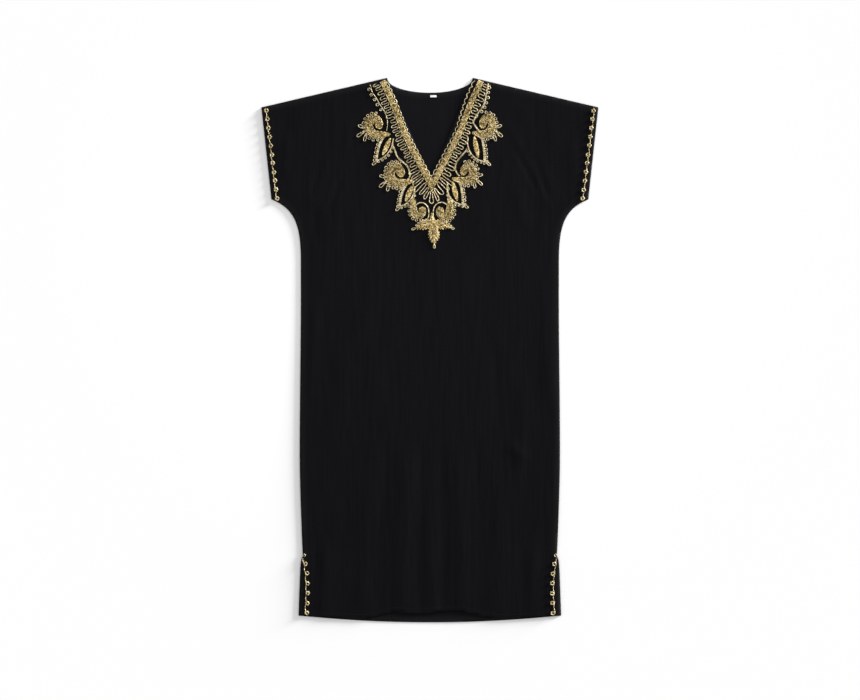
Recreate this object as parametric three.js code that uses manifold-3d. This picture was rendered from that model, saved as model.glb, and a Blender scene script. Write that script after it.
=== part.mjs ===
// A black V-neck abaya with short sleeves cut in one with the body, laid flat on its back.
// Millimetres, +Z up. +Y runs from the hem to the neck and +X is the viewer's right.
// The origin is on the surface that the garment lies on, below the middle of its outline.
import * as THREE from 'three';
import { mergeVertices } from 'three/addons/utils/BufferGeometryUtils.js';
import Module from 'manifold-3d';

// Cloth: two walls that lie on each other, with a hair of air at the seams
const WALL = 1.5;
const GAP = 0.3;
const FRONT_FLOOR = WALL + GAP;
const FRONT_TOP = FRONT_FLOOR + WALL;

// Cut of the body and sleeves, half widths from the centre line
const HALF_LENGTH = 610;
const NECK_HALF = 96.5;
const BACK_NECK_DEPTH = 33;
const SLEEVE_TIP = { x: 377.5, y: 544 };
const CUFF_FOOT = { x: 355, y: 338 };
const UNDERARM_FOOT = { x: 289.2, y: 202 };
const UNDERARM_FULLNESS = 0.76;
const CUFF_FOOT_SLOPE = 0.42;
const NECK_STEPS = 20;
const UNDERARM_STEPS = 12;
const SIDE_STEPS = 10;
const SLIT_STEPS = 6;

// Side seam, then the slit's edge, from the underarm down to the hem corner
const SIDE_SEAM = [
  { y: 202, half: 289.2 },
  { y: 68, half: 289.2 },
  { y: -112, half: 290.9 },
  { y: -246, half: 291.5 },
  { y: -336, half: 289.6 },
  { y: -425, half: 286.4 },
  { y: -461, half: 284.6 },
];
const SLIT_EDGE = [
  { y: -461, half: 284.6 },
  { y: -470, half: 288.2 },
  { y: -488, half: 290.2 },
  { y: -530, half: 292.0 },
  { y: -594.8, half: 294.2 },
];
const HEM_SAG = 15.2;
const HEM_STEPS = 24;

// The front hem lies drawn up over the middle of the back hem, in a long low rise with two soft crests
const FRONT_HEM_CRESTS = [
  { x: -76, lift: 18, spread: 46 },
  { x: -5, lift: 10, spread: 38 },
  { x: 62, lift: 20, spread: 54 },
  { x: 0, lift: 5, spread: 160 },
];

// V neck: its point sits a little to the right of the centre line
const V_POINT = { x: 2.5, y: 382 };

// Soft folds that stand up from the front, each from a root to a tip, with its spread and rise
const FOLDS = [
  { x0: -234, y0: 452, x1: -276, y1: 300, spread: 20, rise: 2.6 },
  { x0: -196, y0: 340, x1: -216, y1: 262, spread: 16, rise: 1.8 },
  { x0: 236, y0: 432, x1: 272, y1: 302, spread: 20, rise: 2.6 },
  { x0: 188, y0: 388, x1: 222, y1: 250, spread: 16, rise: 2.0 },
  { x0: -262, y0: 150, x1: -264, y1: -150, spread: 14, rise: 1.2 },
  { x0: 258, y0: 150, x1: 262, y1: -150, spread: 14, rise: 1.2 },
  { x0: -143, y0: -250, x1: -146, y1: -640, spread: 22, rise: 2.2 },
  { x0: -60, y0: -190, x1: -55, y1: -640, spread: 24, rise: 3.2 },
  { x0: 4, y0: -300, x1: 5, y1: -640, spread: 14, rise: 1.6 },
  { x0: 66, y0: -190, x1: 68, y1: -640, spread: 24, rise: 3.3 },
  { x0: 148, y0: -230, x1: 152, y1: -640, spread: 22, rise: 2.2 },
  { x0: 170, y0: -206, x1: 222, y1: -250, spread: 16, rise: 1.3 },
  { x0: -234, y0: -420, x1: -236, y1: -630, spread: 16, rise: 1.6 },
  { x0: 232, y0: -420, x1: 236, y1: -630, spread: 16, rise: 1.6 },
];
const FOLD_TAPER = 90;

// The wall's points stand on this grid, and so do those of everything sewn on the front
const CELL_X = 18;
const CELL_Y = 40;

// Gold embroidery: raised pads that follow the front
const PAD = 1.2;
const EMBROIDERY_X = 4;
const BAND_WIDTH = 12.6;
const BAND_STEPS = 14;

// The band's centre line on one side of the V, from its point up, measured from the embroidery's middle
const BAND = [
  { half: 0, y: 367.5 },
  { half: 30.5, y: 425 },
  { half: 60.6, y: 484 },
  { half: 75, y: 521 },
  { half: 89.5, y: 558.3 },
  { half: 100.8, y: 582 },
  { half: 110.5, y: 603 },
];

// Paisleys and small scrolls: a round head with a stem, curled in by one narrow groove.
// Each row has the head's middle and size, the stem's tip from that middle, and the turn.
const SCROLLS = [
  { name: 'paisley_upper_right', x: 130, y: 503, width: 39, length: 54, stem: [-24, -22], turn: 0, side: 1 },
  { name: 'paisley_upper_left', x: -126, y: 502, width: 43, length: 53, stem: [-32, -18], turn: 0, side: -1 },
  { name: 'paisley_lower_right', x: 86, y: 396.5, width: 39, length: 49, stem: [-34, -15], turn: 0, side: 1 },
  { name: 'paisley_lower_left', x: -77, y: 393, width: 44, length: 54, stem: [-30, -18], turn: 0, side: -1 },
  { name: 'scroll_right', x: 33, y: 310, width: 33, length: 37, stem: [-24, -12], turn: 90, side: -1 },
  { name: 'scroll_left', x: -27, y: 308.5, width: 32, length: 35, stem: [-24, -12], turn: -90, side: 1 },
];
const SCROLL_STEPS = 18;
const STEM_ROOT = { x: 0.1, y: -0.86 };
const STEM_SPREAD = 5.2;

// The groove's run, as parts of the head's half width and half length. It narrows from its mouth.
const GROOVE = [
  { x: -1.3, y: -0.4 },
  { x: -0.42, y: -0.38 },
  { x: 0.02, y: -0.2 },
  { x: 0.12, y: 0.08 },
  { x: -0.08, y: 0.26 },
];
const GROOVE_MOUTH = 7;
const GROOVE_END = 3;

// Filled leaves: the middle, size and turn of each
const LEAVES = [
  { name: 'leaf_upper_right', x: 105, y: 456, width: 13, length: 51, turn: 11 },
  { name: 'leaf_upper_left', x: -97, y: 456, width: 13, length: 42, turn: -25 },
  { name: 'leaf_lower_right', x: 56.5, y: 355.5, width: 12.5, length: 44, turn: 13 },
  { name: 'leaf_lower_left', x: -47, y: 350.5, width: 14, length: 36, turn: -23 },
];
const LEAF_STEPS = 7;
const LEAF_ROUNDNESS = 0.85;

// The finial's lobes grow from one knot; its neck reaches up between the scrolls
const FINIAL_KNOT = { x: 8, y: 287 };
const FINIAL_LOBES = [
  { length: 46, width: 20, turn: -71 },
  { length: 43, width: 20, turn: 72 },
  { length: 51, width: 24, turn: 2 },
  { length: 30, width: 14, turn: 187 },
];
const LOBE_STEPS = 8;
const LOBE_WAIST = 0.3;
const LOBE_POINT = 5;

// Berry trims: open rosettes along a thin stem, on the cuffs and beside the slits.
// Each line runs from the first berry's middle to the last one's; the stem lies a little outside it.
const BERRY = 10;
const BERRY_SIDES = 10;
const STEM = 2.6;
const CUFF_TRIM = {
  berries: 11,
  lead: 6,
  off: 1.2,
  line: [
    { x: 366.4, y: 536.6 },
    { x: 342.2, y: 339.7 },
  ],
};
const SLIT_TRIM = {
  berries: 6,
  lead: 11,
  off: 3.6,
  line: [
    { x: 278.8, y: -478.5 },
    { x: 275.0, y: -503 },
    { x: 273.6, y: -545 },
    { x: 275.6, y: -589 },
  ],
};

// Small blank woven label inside the back neck
const LABEL = { x: 7.8, y: 569, width: 14, height: 4.6, thickness: 0.6 };

// Upright prisms cut the slabs of cloth and embroidery; a mitre never reaches further than this
const PRISM_FOOT = -10;
const PRISM_HEIGHT = 40;
const MITRE_LIMIT = 0.35;
const MERGE_DISTANCE = 1e-4;

const wasm = await Module();
wasm.setup();

const cloth = () => new THREE.MeshStandardMaterial({ color: 0x161618, roughness: 0.92, metalness: 0 });
const gold = () => new THREE.MeshStandardMaterial({ color: 0xbfa170, roughness: 0.5, metalness: 0.55 });
const woven = () => new THREE.MeshStandardMaterial({ color: 0xf2f1ee, roughness: 0.8, metalness: 0 });

function smooth(t) {
  const s = THREE.MathUtils.clamp(t, 0, 1);
  return s * s * (3 - 2 * s);
}

// How far the front stands above its lowest lie at a point
function rise(x, y) {
  let total = 0;
  for (const fold of FOLDS) {
    const root = new THREE.Vector2(fold.x0, fold.y0);
    const along = new THREE.Vector2(fold.x1, fold.y1).sub(root);
    const length = along.length();
    along.normalize();
    const offset = new THREE.Vector2(x, y).sub(root);
    const run = offset.dot(along);
    const away = offset.cross(along);
    const ends = smooth(run / FOLD_TAPER) * smooth((length - run) / FOLD_TAPER);
    total += fold.rise * ends * Math.exp(-((away / fold.spread) ** 2));
  }
  return total;
}

function asSolid(geometry) {
  geometry.deleteAttribute('normal');
  geometry.deleteAttribute('uv');
  const merged = mergeVertices(geometry, MERGE_DISTANCE);
  return new wasm.Manifold(new wasm.Mesh({
    numProp: 3,
    vertProperties: new Float32Array(merged.attributes.position.array),
    triVerts: new Uint32Array(merged.index.array),
  }));
}

function asGeometry(solid) {
  const mesh = solid.getMesh();
  const geometry = new THREE.BufferGeometry();
  geometry.setAttribute('position', new THREE.BufferAttribute(new Float32Array(mesh.vertProperties), 3));
  geometry.setIndex(new THREE.BufferAttribute(new Uint32Array(mesh.triVerts), 1));
  geometry.computeVertexNormals();
  return geometry;
}

function gridLines(from, to, cell) {
  const lines = [];
  for (let k = Math.floor(from / cell); k <= Math.ceil(to / cell); k += 1) {
    lines.push(k * cell);
  }
  return lines;
}

// A slab that follows the front's folds between two heights, on the cloth's own grid
function clothSlab(box, lower, upper) {
  const xs = gridLines(box.min.x, box.max.x, CELL_X);
  const ys = gridLines(box.min.y, box.max.y, CELL_Y);
  const points = [];
  for (const height of [upper, lower]) {
    for (const y of ys) {
      for (const x of xs) {
        points.push(x, y, height + rise(x, y));
      }
    }
  }
  const under = xs.length * ys.length;
  const at = (i, j) => j * xs.length + i;
  const faces = [];
  for (let j = 0; j + 1 < ys.length; j += 1) {
    for (let i = 0; i + 1 < xs.length; i += 1) {
      const [a, b, c, d] = [at(i, j), at(i + 1, j), at(i + 1, j + 1), at(i, j + 1)];
      faces.push(a, b, c, a, c, d);
      faces.push(under + a, under + c, under + b, under + a, under + d, under + c);
    }
  }
  const wall = (a, b) => faces.push(a, under + a, under + b, a, under + b, b);
  for (let i = 0; i + 1 < xs.length; i += 1) {
    wall(at(i, 0), at(i + 1, 0));
    wall(at(i + 1, ys.length - 1), at(i, ys.length - 1));
  }
  for (let j = 0; j + 1 < ys.length; j += 1) {
    wall(at(xs.length - 1, j), at(xs.length - 1, j + 1));
    wall(at(0, j + 1), at(0, j));
  }
  const geometry = new THREE.BufferGeometry();
  geometry.setAttribute('position', new THREE.BufferAttribute(new Float32Array(points), 3));
  geometry.setIndex(faces);
  return asSolid(geometry);
}

// An upright prism of an outline, tall enough to cut any slab of the front
function prism(outline) {
  const shape = new THREE.Shape(outline);
  const geometry = new THREE.ExtrudeGeometry(shape, { depth: PRISM_HEIGHT, bevelEnabled: false });
  geometry.translate(0, 0, PRISM_FOOT);
  return asSolid(geometry);
}

function boxOf(outline) {
  return new THREE.Box2().setFromPoints(outline);
}

// Everything sewn on the front: its outlines, joined, cut from the slab above the cloth
function padOf(outlines) {
  const box = new THREE.Box2();
  outlines.forEach((outline) => box.union(boxOf(outline)));
  const column = outlines.map(prism).reduce((all, one) => all.add(one));
  return clothSlab(box, FRONT_TOP + GAP, FRONT_TOP + GAP + PAD).intersect(column);
}

function turned(point, degrees) {
  return point.clone().rotateAround(new THREE.Vector2(), THREE.MathUtils.degToRad(degrees));
}

// Right half of the outline, from the neck point round the sleeve and down to the hem corner
function rightEdge() {
  const corner = new THREE.Vector2(
    UNDERARM_FOOT.x,
    CUFF_FOOT.y - CUFF_FOOT_SLOPE * (CUFF_FOOT.x - UNDERARM_FOOT.x),
  );
  const cuff = new THREE.Vector2(CUFF_FOOT.x, CUFF_FOOT.y);
  const foot = new THREE.Vector2(UNDERARM_FOOT.x, UNDERARM_FOOT.y);
  const underarm = new THREE.CubicBezierCurve(
    cuff,
    cuff.clone().lerp(corner, UNDERARM_FULLNESS),
    foot.clone().lerp(corner, UNDERARM_FULLNESS),
    foot,
  );
  const through = (rows) => new THREE.SplineCurve(rows.map((row) => new THREE.Vector2(row.half, row.y)));
  return [
    new THREE.Vector2(NECK_HALF, HALF_LENGTH),
    new THREE.Vector2(SLEEVE_TIP.x, SLEEVE_TIP.y),
    ...underarm.getPoints(UNDERARM_STEPS),
    ...through(SIDE_SEAM).getPoints(SIDE_STEPS).slice(1),
    ...through(SLIT_EDGE).getPoints(SLIT_STEPS).slice(1),
  ];
}

function hemY(x) {
  const corner = SLIT_EDGE[SLIT_EDGE.length - 1];
  return -HALF_LENGTH + HEM_SAG * (x / corner.half) ** 2;
}

function frontHemY(x) {
  const lift = FRONT_HEM_CRESTS.map((crest) => crest.lift * Math.exp(-(((x - crest.x) / crest.spread) ** 2)));
  return hemY(x) + lift.reduce((sum, one) => sum + one, 0);
}

function hemPoints(level) {
  const corner = SLIT_EDGE[SLIT_EDGE.length - 1].half;
  const points = [];
  for (let k = 1; k < HEM_STEPS; k += 1) {
    const x = corner * (1 - (2 * k) / HEM_STEPS);
    points.push(new THREE.Vector2(x, level(x)));
  }
  return points;
}

function mirrored(points) {
  return points.map((point) => new THREE.Vector2(-point.x, point.y)).reverse();
}

function backOutline() {
  const neckline = new THREE.EllipseCurve(0, HALF_LENGTH, NECK_HALF, BACK_NECK_DEPTH, Math.PI, 2 * Math.PI);
  const right = rightEdge();
  return [...right, ...hemPoints(hemY), ...mirrored(right), ...neckline.getPoints(NECK_STEPS).slice(1, -1)];
}

function frontOutline() {
  const right = rightEdge();
  return [...right, ...hemPoints(frontHemY), ...mirrored(right), new THREE.Vector2(V_POINT.x, V_POINT.y)];
}

// Both sides of the band's centre line, from the left shoulder round the V to the right one
function bandLine() {
  const half = (side) => new THREE.SplineCurve(
    BAND.map((row) => new THREE.Vector2(EMBROIDERY_X + side * row.half, row.y)),
  ).getPoints(BAND_STEPS);
  return [...half(-1).reverse(), ...half(1).slice(1)];
}

// A line of points widened to a strip, whose width may run evenly from one size to another.
// At a corner the strip's sides meet in a mitre.
function strip(line, width, endWidth = width) {
  const sides = [[], []];
  line.forEach((point, k) => {
    const before = point.clone().sub(line[Math.max(k - 1, 0)]).normalize();
    const after = line[Math.min(k + 1, line.length - 1)].clone().sub(point).normalize();
    const along = before.clone().add(after).normalize();
    const wide = THREE.MathUtils.lerp(width, endWidth, k / (line.length - 1));
    const reach = wide / 2 / Math.max(along.dot(k === 0 ? after : before), MITRE_LIMIT);
    const across = new THREE.Vector2(-along.y, along.x).multiplyScalar(reach);
    sides[0].push(point.clone().add(across));
    sides[1].push(point.clone().sub(across));
  });
  return [...sides[0], ...sides[1].reverse()];
}

function placed(points, row) {
  const moved = points.map((point) => (
    turned(new THREE.Vector2(row.side * point.x, point.y), row.turn).add(new THREE.Vector2(row.x, row.y))
  ));
  return row.side > 0 ? moved : moved.reverse();
}

// A round head and its stem, less the groove that curls in from beside the stem
function scrollPad(row) {
  const half = new THREE.Vector2(row.width / 2, row.length / 2);
  const head = new THREE.EllipseCurve(0, 0, half.x, half.y).getPoints(SCROLL_STEPS).slice(0, -1);
  const root = new THREE.Vector2(STEM_ROOT.x, STEM_ROOT.y).multiply(half);
  const tip = new THREE.Vector2(...row.stem);
  const across = tip.clone().sub(root).normalize().rotateAround(new THREE.Vector2(), -Math.PI / 2);
  const stem = [
    root.clone().addScaledVector(across, STEM_SPREAD),
    root.clone().addScaledVector(across, -STEM_SPREAD),
    tip.clone().addScaledVector(across, -STEM / 2),
    tip.clone().addScaledVector(across, STEM / 2),
  ];
  const bends = GROOVE.map((point) => new THREE.Vector2(point.x, point.y).multiply(half));
  const run = new THREE.SplineCurve(bends).getPoints(SCROLL_STEPS);
  const groove = strip(run, GROOVE_MOUTH, GROOVE_END);
  return padOf([head, stem].map((outline) => placed(outline, row))).subtract(prism(placed(groove, row)));
}

// A leaf pointed at both ends, hanging from its upper point
function leafOutline(row) {
  const side = (sign) => {
    const points = [];
    for (let k = 0; k < LEAF_STEPS; k += 1) {
      const s = k / LEAF_STEPS;
      const bulge = Math.sin(Math.PI * s) ** LEAF_ROUNDNESS;
      points.push(new THREE.Vector2((sign * row.width * bulge) / 2, row.length * (0.5 - s) * sign));
    }
    return points;
  };
  return [...side(1), ...side(-1)].map((point) => (
    turned(point, row.turn).add(new THREE.Vector2(row.x, row.y))
  )).reverse();
}

// One lobe: it starts narrow in the knot, swells and comes to a point
function lobeOutline(lobe) {
  const sides = [[], []];
  for (let k = 0; k <= LOBE_STEPS; k += 1) {
    const s = k / LOBE_STEPS;
    const swell = LOBE_WAIST + (1 - LOBE_WAIST) * Math.sin(Math.PI * s);
    const half = (lobe.width / 2) * swell * (1 - s ** LOBE_POINT);
    sides[0].push(new THREE.Vector2(half, -lobe.length * s));
    sides[1].push(new THREE.Vector2(-half, -lobe.length * s));
  }
  sides[1].pop();
  return [...sides[0], ...sides[1].reverse()].reverse().map((point) => (
    turned(point, lobe.turn).add(new THREE.Vector2(FINIAL_KNOT.x, FINIAL_KNOT.y))
  ));
}

function disc(centre) {
  const points = [];
  for (let k = 0; k < BERRY_SIDES; k += 1) {
    points.push(turned(new THREE.Vector2(BERRY / 2, 0), (360 * k) / BERRY_SIDES).add(centre));
  }
  return points;
}

// Berries at even steps along a line, on a stem that starts a little before the first
function berryTrim(trim, side) {
  const line = trim.line.map((point) => new THREE.Vector2(side * point.x, point.y));
  const centres = new THREE.SplineCurve(line).getSpacedPoints(trim.berries - 1);
  const before = centres[0].clone().sub(centres[1]).setLength(trim.lead).add(centres[0]);
  const outward = new THREE.Vector2(side * trim.off, 0);
  const stem = [before, ...centres].map((point) => point.clone().add(outward));
  return padOf([strip(stem, STEM), ...centres.map(disc)]);
}

function backPanel() {
  const shape = new THREE.Shape(backOutline());
  return asSolid(new THREE.ExtrudeGeometry(shape, { depth: WALL, bevelEnabled: false }));
}

function frontPanel() {
  const outline = frontOutline();
  return clothSlab(boxOf(outline), FRONT_FLOOR, FRONT_TOP).intersect(prism(outline));
}

function sizeLabel() {
  const geometry = new THREE.BoxGeometry(LABEL.width, LABEL.height, LABEL.thickness);
  geometry.translate(LABEL.x, LABEL.y, WALL + GAP + LABEL.thickness / 2);
  return asSolid(geometry);
}

const group = new THREE.Group();

function addPiece(name, solid, material) {
  const mesh = new THREE.Mesh(asGeometry(solid), material);
  mesh.name = name;
  group.add(mesh);
}

addPiece('back_panel', backPanel(), cloth());
addPiece('front_panel', frontPanel(), cloth());
addPiece('size_label', sizeLabel(), woven());
addPiece('neck_band', padOf([strip(bandLine(), BAND_WIDTH)]), gold());
for (const row of SCROLLS) {
  addPiece(row.name, scrollPad(row), gold());
}
for (const row of LEAVES) {
  addPiece(row.name, padOf([leafOutline(row)]), gold());
}
addPiece('finial', padOf(FINIAL_LOBES.map(lobeOutline)), gold());
for (const [word, side] of [['right', 1], ['left', -1]]) {
  addPiece(`cuff_trim_${word}`, berryTrim(CUFF_TRIM, side), gold());
  addPiece(`slit_trim_${word}`, berryTrim(SLIT_TRIM, side), gold());
}

export default group;
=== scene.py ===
# %% [markdown]
# A black abaya with short sleeves lies flat on a pale floor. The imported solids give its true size,
# so they are loaded first and everything else is fitted to them.
# %% Load the frame
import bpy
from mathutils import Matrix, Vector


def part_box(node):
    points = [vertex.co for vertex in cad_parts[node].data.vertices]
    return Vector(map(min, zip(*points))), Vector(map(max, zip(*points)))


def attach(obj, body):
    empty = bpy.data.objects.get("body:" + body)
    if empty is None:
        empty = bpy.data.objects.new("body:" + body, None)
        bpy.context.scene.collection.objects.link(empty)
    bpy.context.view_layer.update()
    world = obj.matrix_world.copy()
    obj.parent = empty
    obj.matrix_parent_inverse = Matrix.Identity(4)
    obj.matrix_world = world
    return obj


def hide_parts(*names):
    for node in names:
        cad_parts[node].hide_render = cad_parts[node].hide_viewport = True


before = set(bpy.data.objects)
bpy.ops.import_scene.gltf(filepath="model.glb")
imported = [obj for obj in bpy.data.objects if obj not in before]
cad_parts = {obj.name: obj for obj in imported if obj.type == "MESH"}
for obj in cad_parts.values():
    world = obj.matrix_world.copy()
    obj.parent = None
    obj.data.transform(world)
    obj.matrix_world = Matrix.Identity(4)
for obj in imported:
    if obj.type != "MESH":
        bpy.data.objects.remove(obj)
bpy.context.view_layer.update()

# %% [markdown]
# Patterns for clothes are drawn in millimetres, and Blender works in metres. All sizes below are
# in millimetres and become metres only when a mesh is finished.
# %% Tools and units
import math
import random
import bmesh
import bpy
import numpy as np
from mathutils import kdtree

MM = 0.001
chance = random.Random(7)
scene = bpy.context.scene


def linear(hex_code):
    """An sRGB hex colour as the linear colour that shaders use."""
    parts = [int(hex_code[k:k + 2], 16) / 255 for k in (1, 3, 5)]
    return [p / 12.92 if p <= 0.04045 else ((p + 0.055) / 1.055) ** 2.4 for p in parts] + [1.0]


# %% [markdown]
# A node setup is easier to read when each node is added with its settings and its links in one
# call. This is the only helper for nodes: links are given as a socket of an earlier node.
# %% One way to add a node
def add_node(tree, kind, links=None, values=None, **settings):
    node = tree.nodes.new(kind)
    for key, value in settings.items():
        setattr(node, key, value)
    for socket, value in (values or {}).items():
        node.inputs[socket].default_value = value
    for socket, source in (links or {}).items():
        tree.links.new(source, node.inputs[socket])
    return node


def new_material(name):
    material = bpy.data.materials.new(name)
    material.use_nodes = True
    material.node_tree.nodes.clear()
    return material, material.node_tree


# %% [markdown]
# The garment is seen from straight above, as it is when it is laid out to be looked over. The
# camera stands over its middle, far enough for the view to be nearly without perspective. Its
# height follows from the width that the picture takes in at the cloth.
# %% Camera
SHOT_WIDTH = 1926.4
LENS = 85.0
SENSOR = 36.0
CLOTH_LEVEL = 4.0
OFF_CENTRE = 0.34

camera_data = bpy.data.cameras.new("camera")
camera_data.lens = LENS
camera_data.sensor_width = SENSOR
camera_data.clip_end = 50.0
camera = bpy.data.objects.new("camera", camera_data)
camera_height = LENS / SENSOR * SHOT_WIDTH + CLOTH_LEVEL
camera.location = (OFF_CENTRE * MM, OFF_CENTRE * MM, camera_height * MM)
scene.collection.objects.link(camera)
scene.camera = camera
print("camera height in metres:", round(camera_height * MM, 3))

# %% [markdown]
# Black cloth needs plain light: a bright even dome for the pale floor, a soft lamp over the chest,
# so that the cloth is a little darker towards the hem and the sleeves, and a wide low light from
# the upper right that grazes the cloth. The last one shows the soft folds, and throws the narrow
# soft shadow on the left and below. It is a sun with a wide angle, because a lamp near the cloth
# would light one side of the floor more than the other.
# %% Light and floor
DOME = 0.715
LAMP_POWER = 48.0
LAMP_RADIUS = 300
LAMP_PLACE = (30, 300, 3000)
LAMP_CONE = 26.0
SKIM_STRENGTH = 10.0
SKIM_HEIGHT = 7.0
SKIM_SIDE = 30.0
SKIM_SOFTNESS = 14.0
FLOOR_HALF = 6000
BOARD_WHITE = 0.9

world = bpy.data.worlds.new("studio")
scene.world = world
world.use_nodes = True
world.node_tree.nodes.clear()
sky = add_node(world.node_tree, "ShaderNodeBackground",
               values={"Color": (1, 1, 1, 1), "Strength": DOME})
add_node(world.node_tree, "ShaderNodeOutputWorld", {"Surface": sky.outputs[0]})

lamp_data = bpy.data.lights.new("chest_lamp", "SPOT")
lamp_data.energy = LAMP_POWER
lamp_data.spot_size = math.radians(LAMP_CONE)
lamp_data.spot_blend = 1.0
lamp_data.shadow_soft_size = LAMP_RADIUS * MM
lamp = bpy.data.objects.new("chest_lamp", lamp_data)
lamp.location = [v * MM for v in LAMP_PLACE]
scene.collection.objects.link(lamp)

skim_data = bpy.data.lights.new("skimming_light", "SUN")
skim_data.energy = SKIM_STRENGTH
skim_data.angle = math.radians(SKIM_SOFTNESS)
skim = bpy.data.objects.new("skimming_light", skim_data)
skim.rotation_euler = (0, math.radians(90 - SKIM_HEIGHT), math.radians(SKIM_SIDE))
scene.collection.objects.link(skim)

floor_mesh = bpy.data.meshes.new("floor")
bm = bmesh.new()
bmesh.ops.create_grid(bm, x_segments=1, y_segments=1, size=FLOOR_HALF * MM)
bm.to_mesh(floor_mesh)
bm.free()
floor = bpy.data.objects.new("floor", floor_mesh)
scene.collection.objects.link(floor)
# White matt board: it scatters evenly, so it reads as one pale tone with soft shadows
board, tree = new_material("matt_white_board")
shader = add_node(tree, "ShaderNodeBsdfDiffuse",
                  values={"Color": (BOARD_WHITE, BOARD_WHITE, BOARD_WHITE, 1)})
add_node(tree, "ShaderNodeOutputMaterial", {"Surface": shader.outputs[0]})
floor_mesh.materials.append(board)
scene.view_settings.view_transform = "Standard"
print("lights:", lamp.name, "and", skim.name, "over a floor of", board.name)

# %% [markdown]
# The cloth is a black polyester crepe: highly twisted yarns give it a fine pebbled face with
# hardly any shine. Black cloth shows its grain only in how it catches the light, so nearly all of
# the detail is in bump and a very low specular. A crepe grain is about half a millimetre, too fine
# for a picture of the whole garment, so it is drawn a little coarser. The warp also takes up its
# twist unevenly, which leaves faint streaks down the cloth, and these do show. At the seams and
# edges the cloth rolls over and catches more light. This is a painted highlight: the colour is a
# little paler there, so each panel carries its distance from the edge. Where the back shows, it
# shows its wrong side, in a copy of the crepe that is painted a shade paler for the light it
# catches.
# %% Black crepe
GRAIN_MM = 0.7
STREAK_WIDE_MM = 9.0
STREAK_LONG_MM = 110.0
# painted highlight: within this distance of a rolled edge the cloth is painted paler by this much
RIM_HIGHLIGHT_MM = 16.0
RIM_HIGHLIGHT_TONE = 0.0046


def black_crepe(name, darkest, palest):
    material, tree = new_material(name)
    place = add_node(tree, "ShaderNodeTexCoord").outputs["Object"]
    grain = add_node(tree, "ShaderNodeTexNoise", {"Vector": place},
                     {"Scale": 1 / (GRAIN_MM * MM), "Detail": 3.0, "Roughness": 0.6})
    warp_wise = add_node(tree, "ShaderNodeMapping", {"Vector": place},
                         {"Scale": (1 / (STREAK_WIDE_MM * MM), 1 / (STREAK_LONG_MM * MM), 1.0)})
    streaks = add_node(tree, "ShaderNodeTexNoise", {"Vector": warp_wise.outputs[0]},
                       {"Scale": 1.0, "Detail": 3.0, "Roughness": 0.55})
    mottle = add_node(tree, "ShaderNodeMath", {0: grain.outputs["Fac"], 1: streaks.outputs["Fac"]},
                      operation="ADD")
    tone = add_node(tree, "ShaderNodeMapRange", {"Value": mottle.outputs[0]},
                    {"From Min": 0.7, "From Max": 1.3})
    black = add_node(tree, "ShaderNodeValToRGB", {"Fac": tone.outputs["Result"]})
    black.color_ramp.elements[0].color = linear(darkest)
    black.color_ramp.elements[1].color = linear(palest)
    from_edge = add_node(tree, "ShaderNodeAttribute", attribute_name="from_edge")
    # painted highlight: a paler rim near the edges, where the rolled cloth catches the light
    rim_highlight = add_node(tree, "ShaderNodeMapRange", {"Value": from_edge.outputs["Fac"]},
                      {"From Min": 0.0, "From Max": RIM_HIGHLIGHT_MM, "To Min": RIM_HIGHLIGHT_TONE, "To Max": 0.0})
    colour_with_rim_highlight = add_node(tree, "ShaderNodeVectorMath",
                      {0: black.outputs["Color"], 1: rim_highlight.outputs["Result"]}, operation="ADD")
    pebbles = add_node(tree, "ShaderNodeBump", {"Height": grain.outputs["Fac"]},
                       {"Strength": 0.35, "Distance": 0.25 * MM})
    waves = add_node(tree, "ShaderNodeBump",
                     {"Height": streaks.outputs["Fac"], "Normal": pebbles.outputs[0]},
                     {"Strength": 0.36, "Distance": 0.9 * MM})
    cloth = add_node(tree, "ShaderNodeBsdfPrincipled",
                     {"Base Color": colour_with_rim_highlight.outputs["Vector"], "Normal": waves.outputs[0]},
                     {"Roughness": 0.74, "Specular IOR Level": 0.056, "Sheen Weight": 0.012,
                      "Sheen Roughness": 0.4, "Sheen Tint": linear("#8a8c94")})
    add_node(tree, "ShaderNodeOutputMaterial", {"Surface": cloth.outputs[0]})
    return material


crepe = black_crepe("black_polyester_crepe_woven", "#070709", "#0d0d10")
# the back's copy of the crepe is painted paler, painted light for the light it catches in the neck
# and below the hem
back_crepe_painted_lighter = black_crepe("black_polyester_crepe_wrong_side_painted_light", "#0a0a0c", "#101013")
print("cloth:", crepe.name, "and", back_crepe_painted_lighter.name)

# %% [markdown]
# Gold embroidery thread is a flat metallised film wound on a yarn. Each stitch turns the film
# another way, so the thread looks grainy: bright beside dull, warm beside pale. This glint and shade
# is painted into the colour: Voronoi cells as large as the face of one stitch, about two
# millimetres, each get their own tone, from a painted shade to a painted glint, and a middling
# roughness lets the high spots glint as well. The thin couched cord is wound tighter and gets a
# paler copy of the gold, a painted highlight. The looped cord of the cuffs and slits gets a copy
# with weaker painted glints, since its loops stand half on edge.
# %% Metallic threads
STITCH_MM = 2.0
FILM_WIDTH_MM = 0.6
WAVE_TO_WIDTH = 0.3  # a Wave texture of scale s repeats after about 0.3 / s


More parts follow.
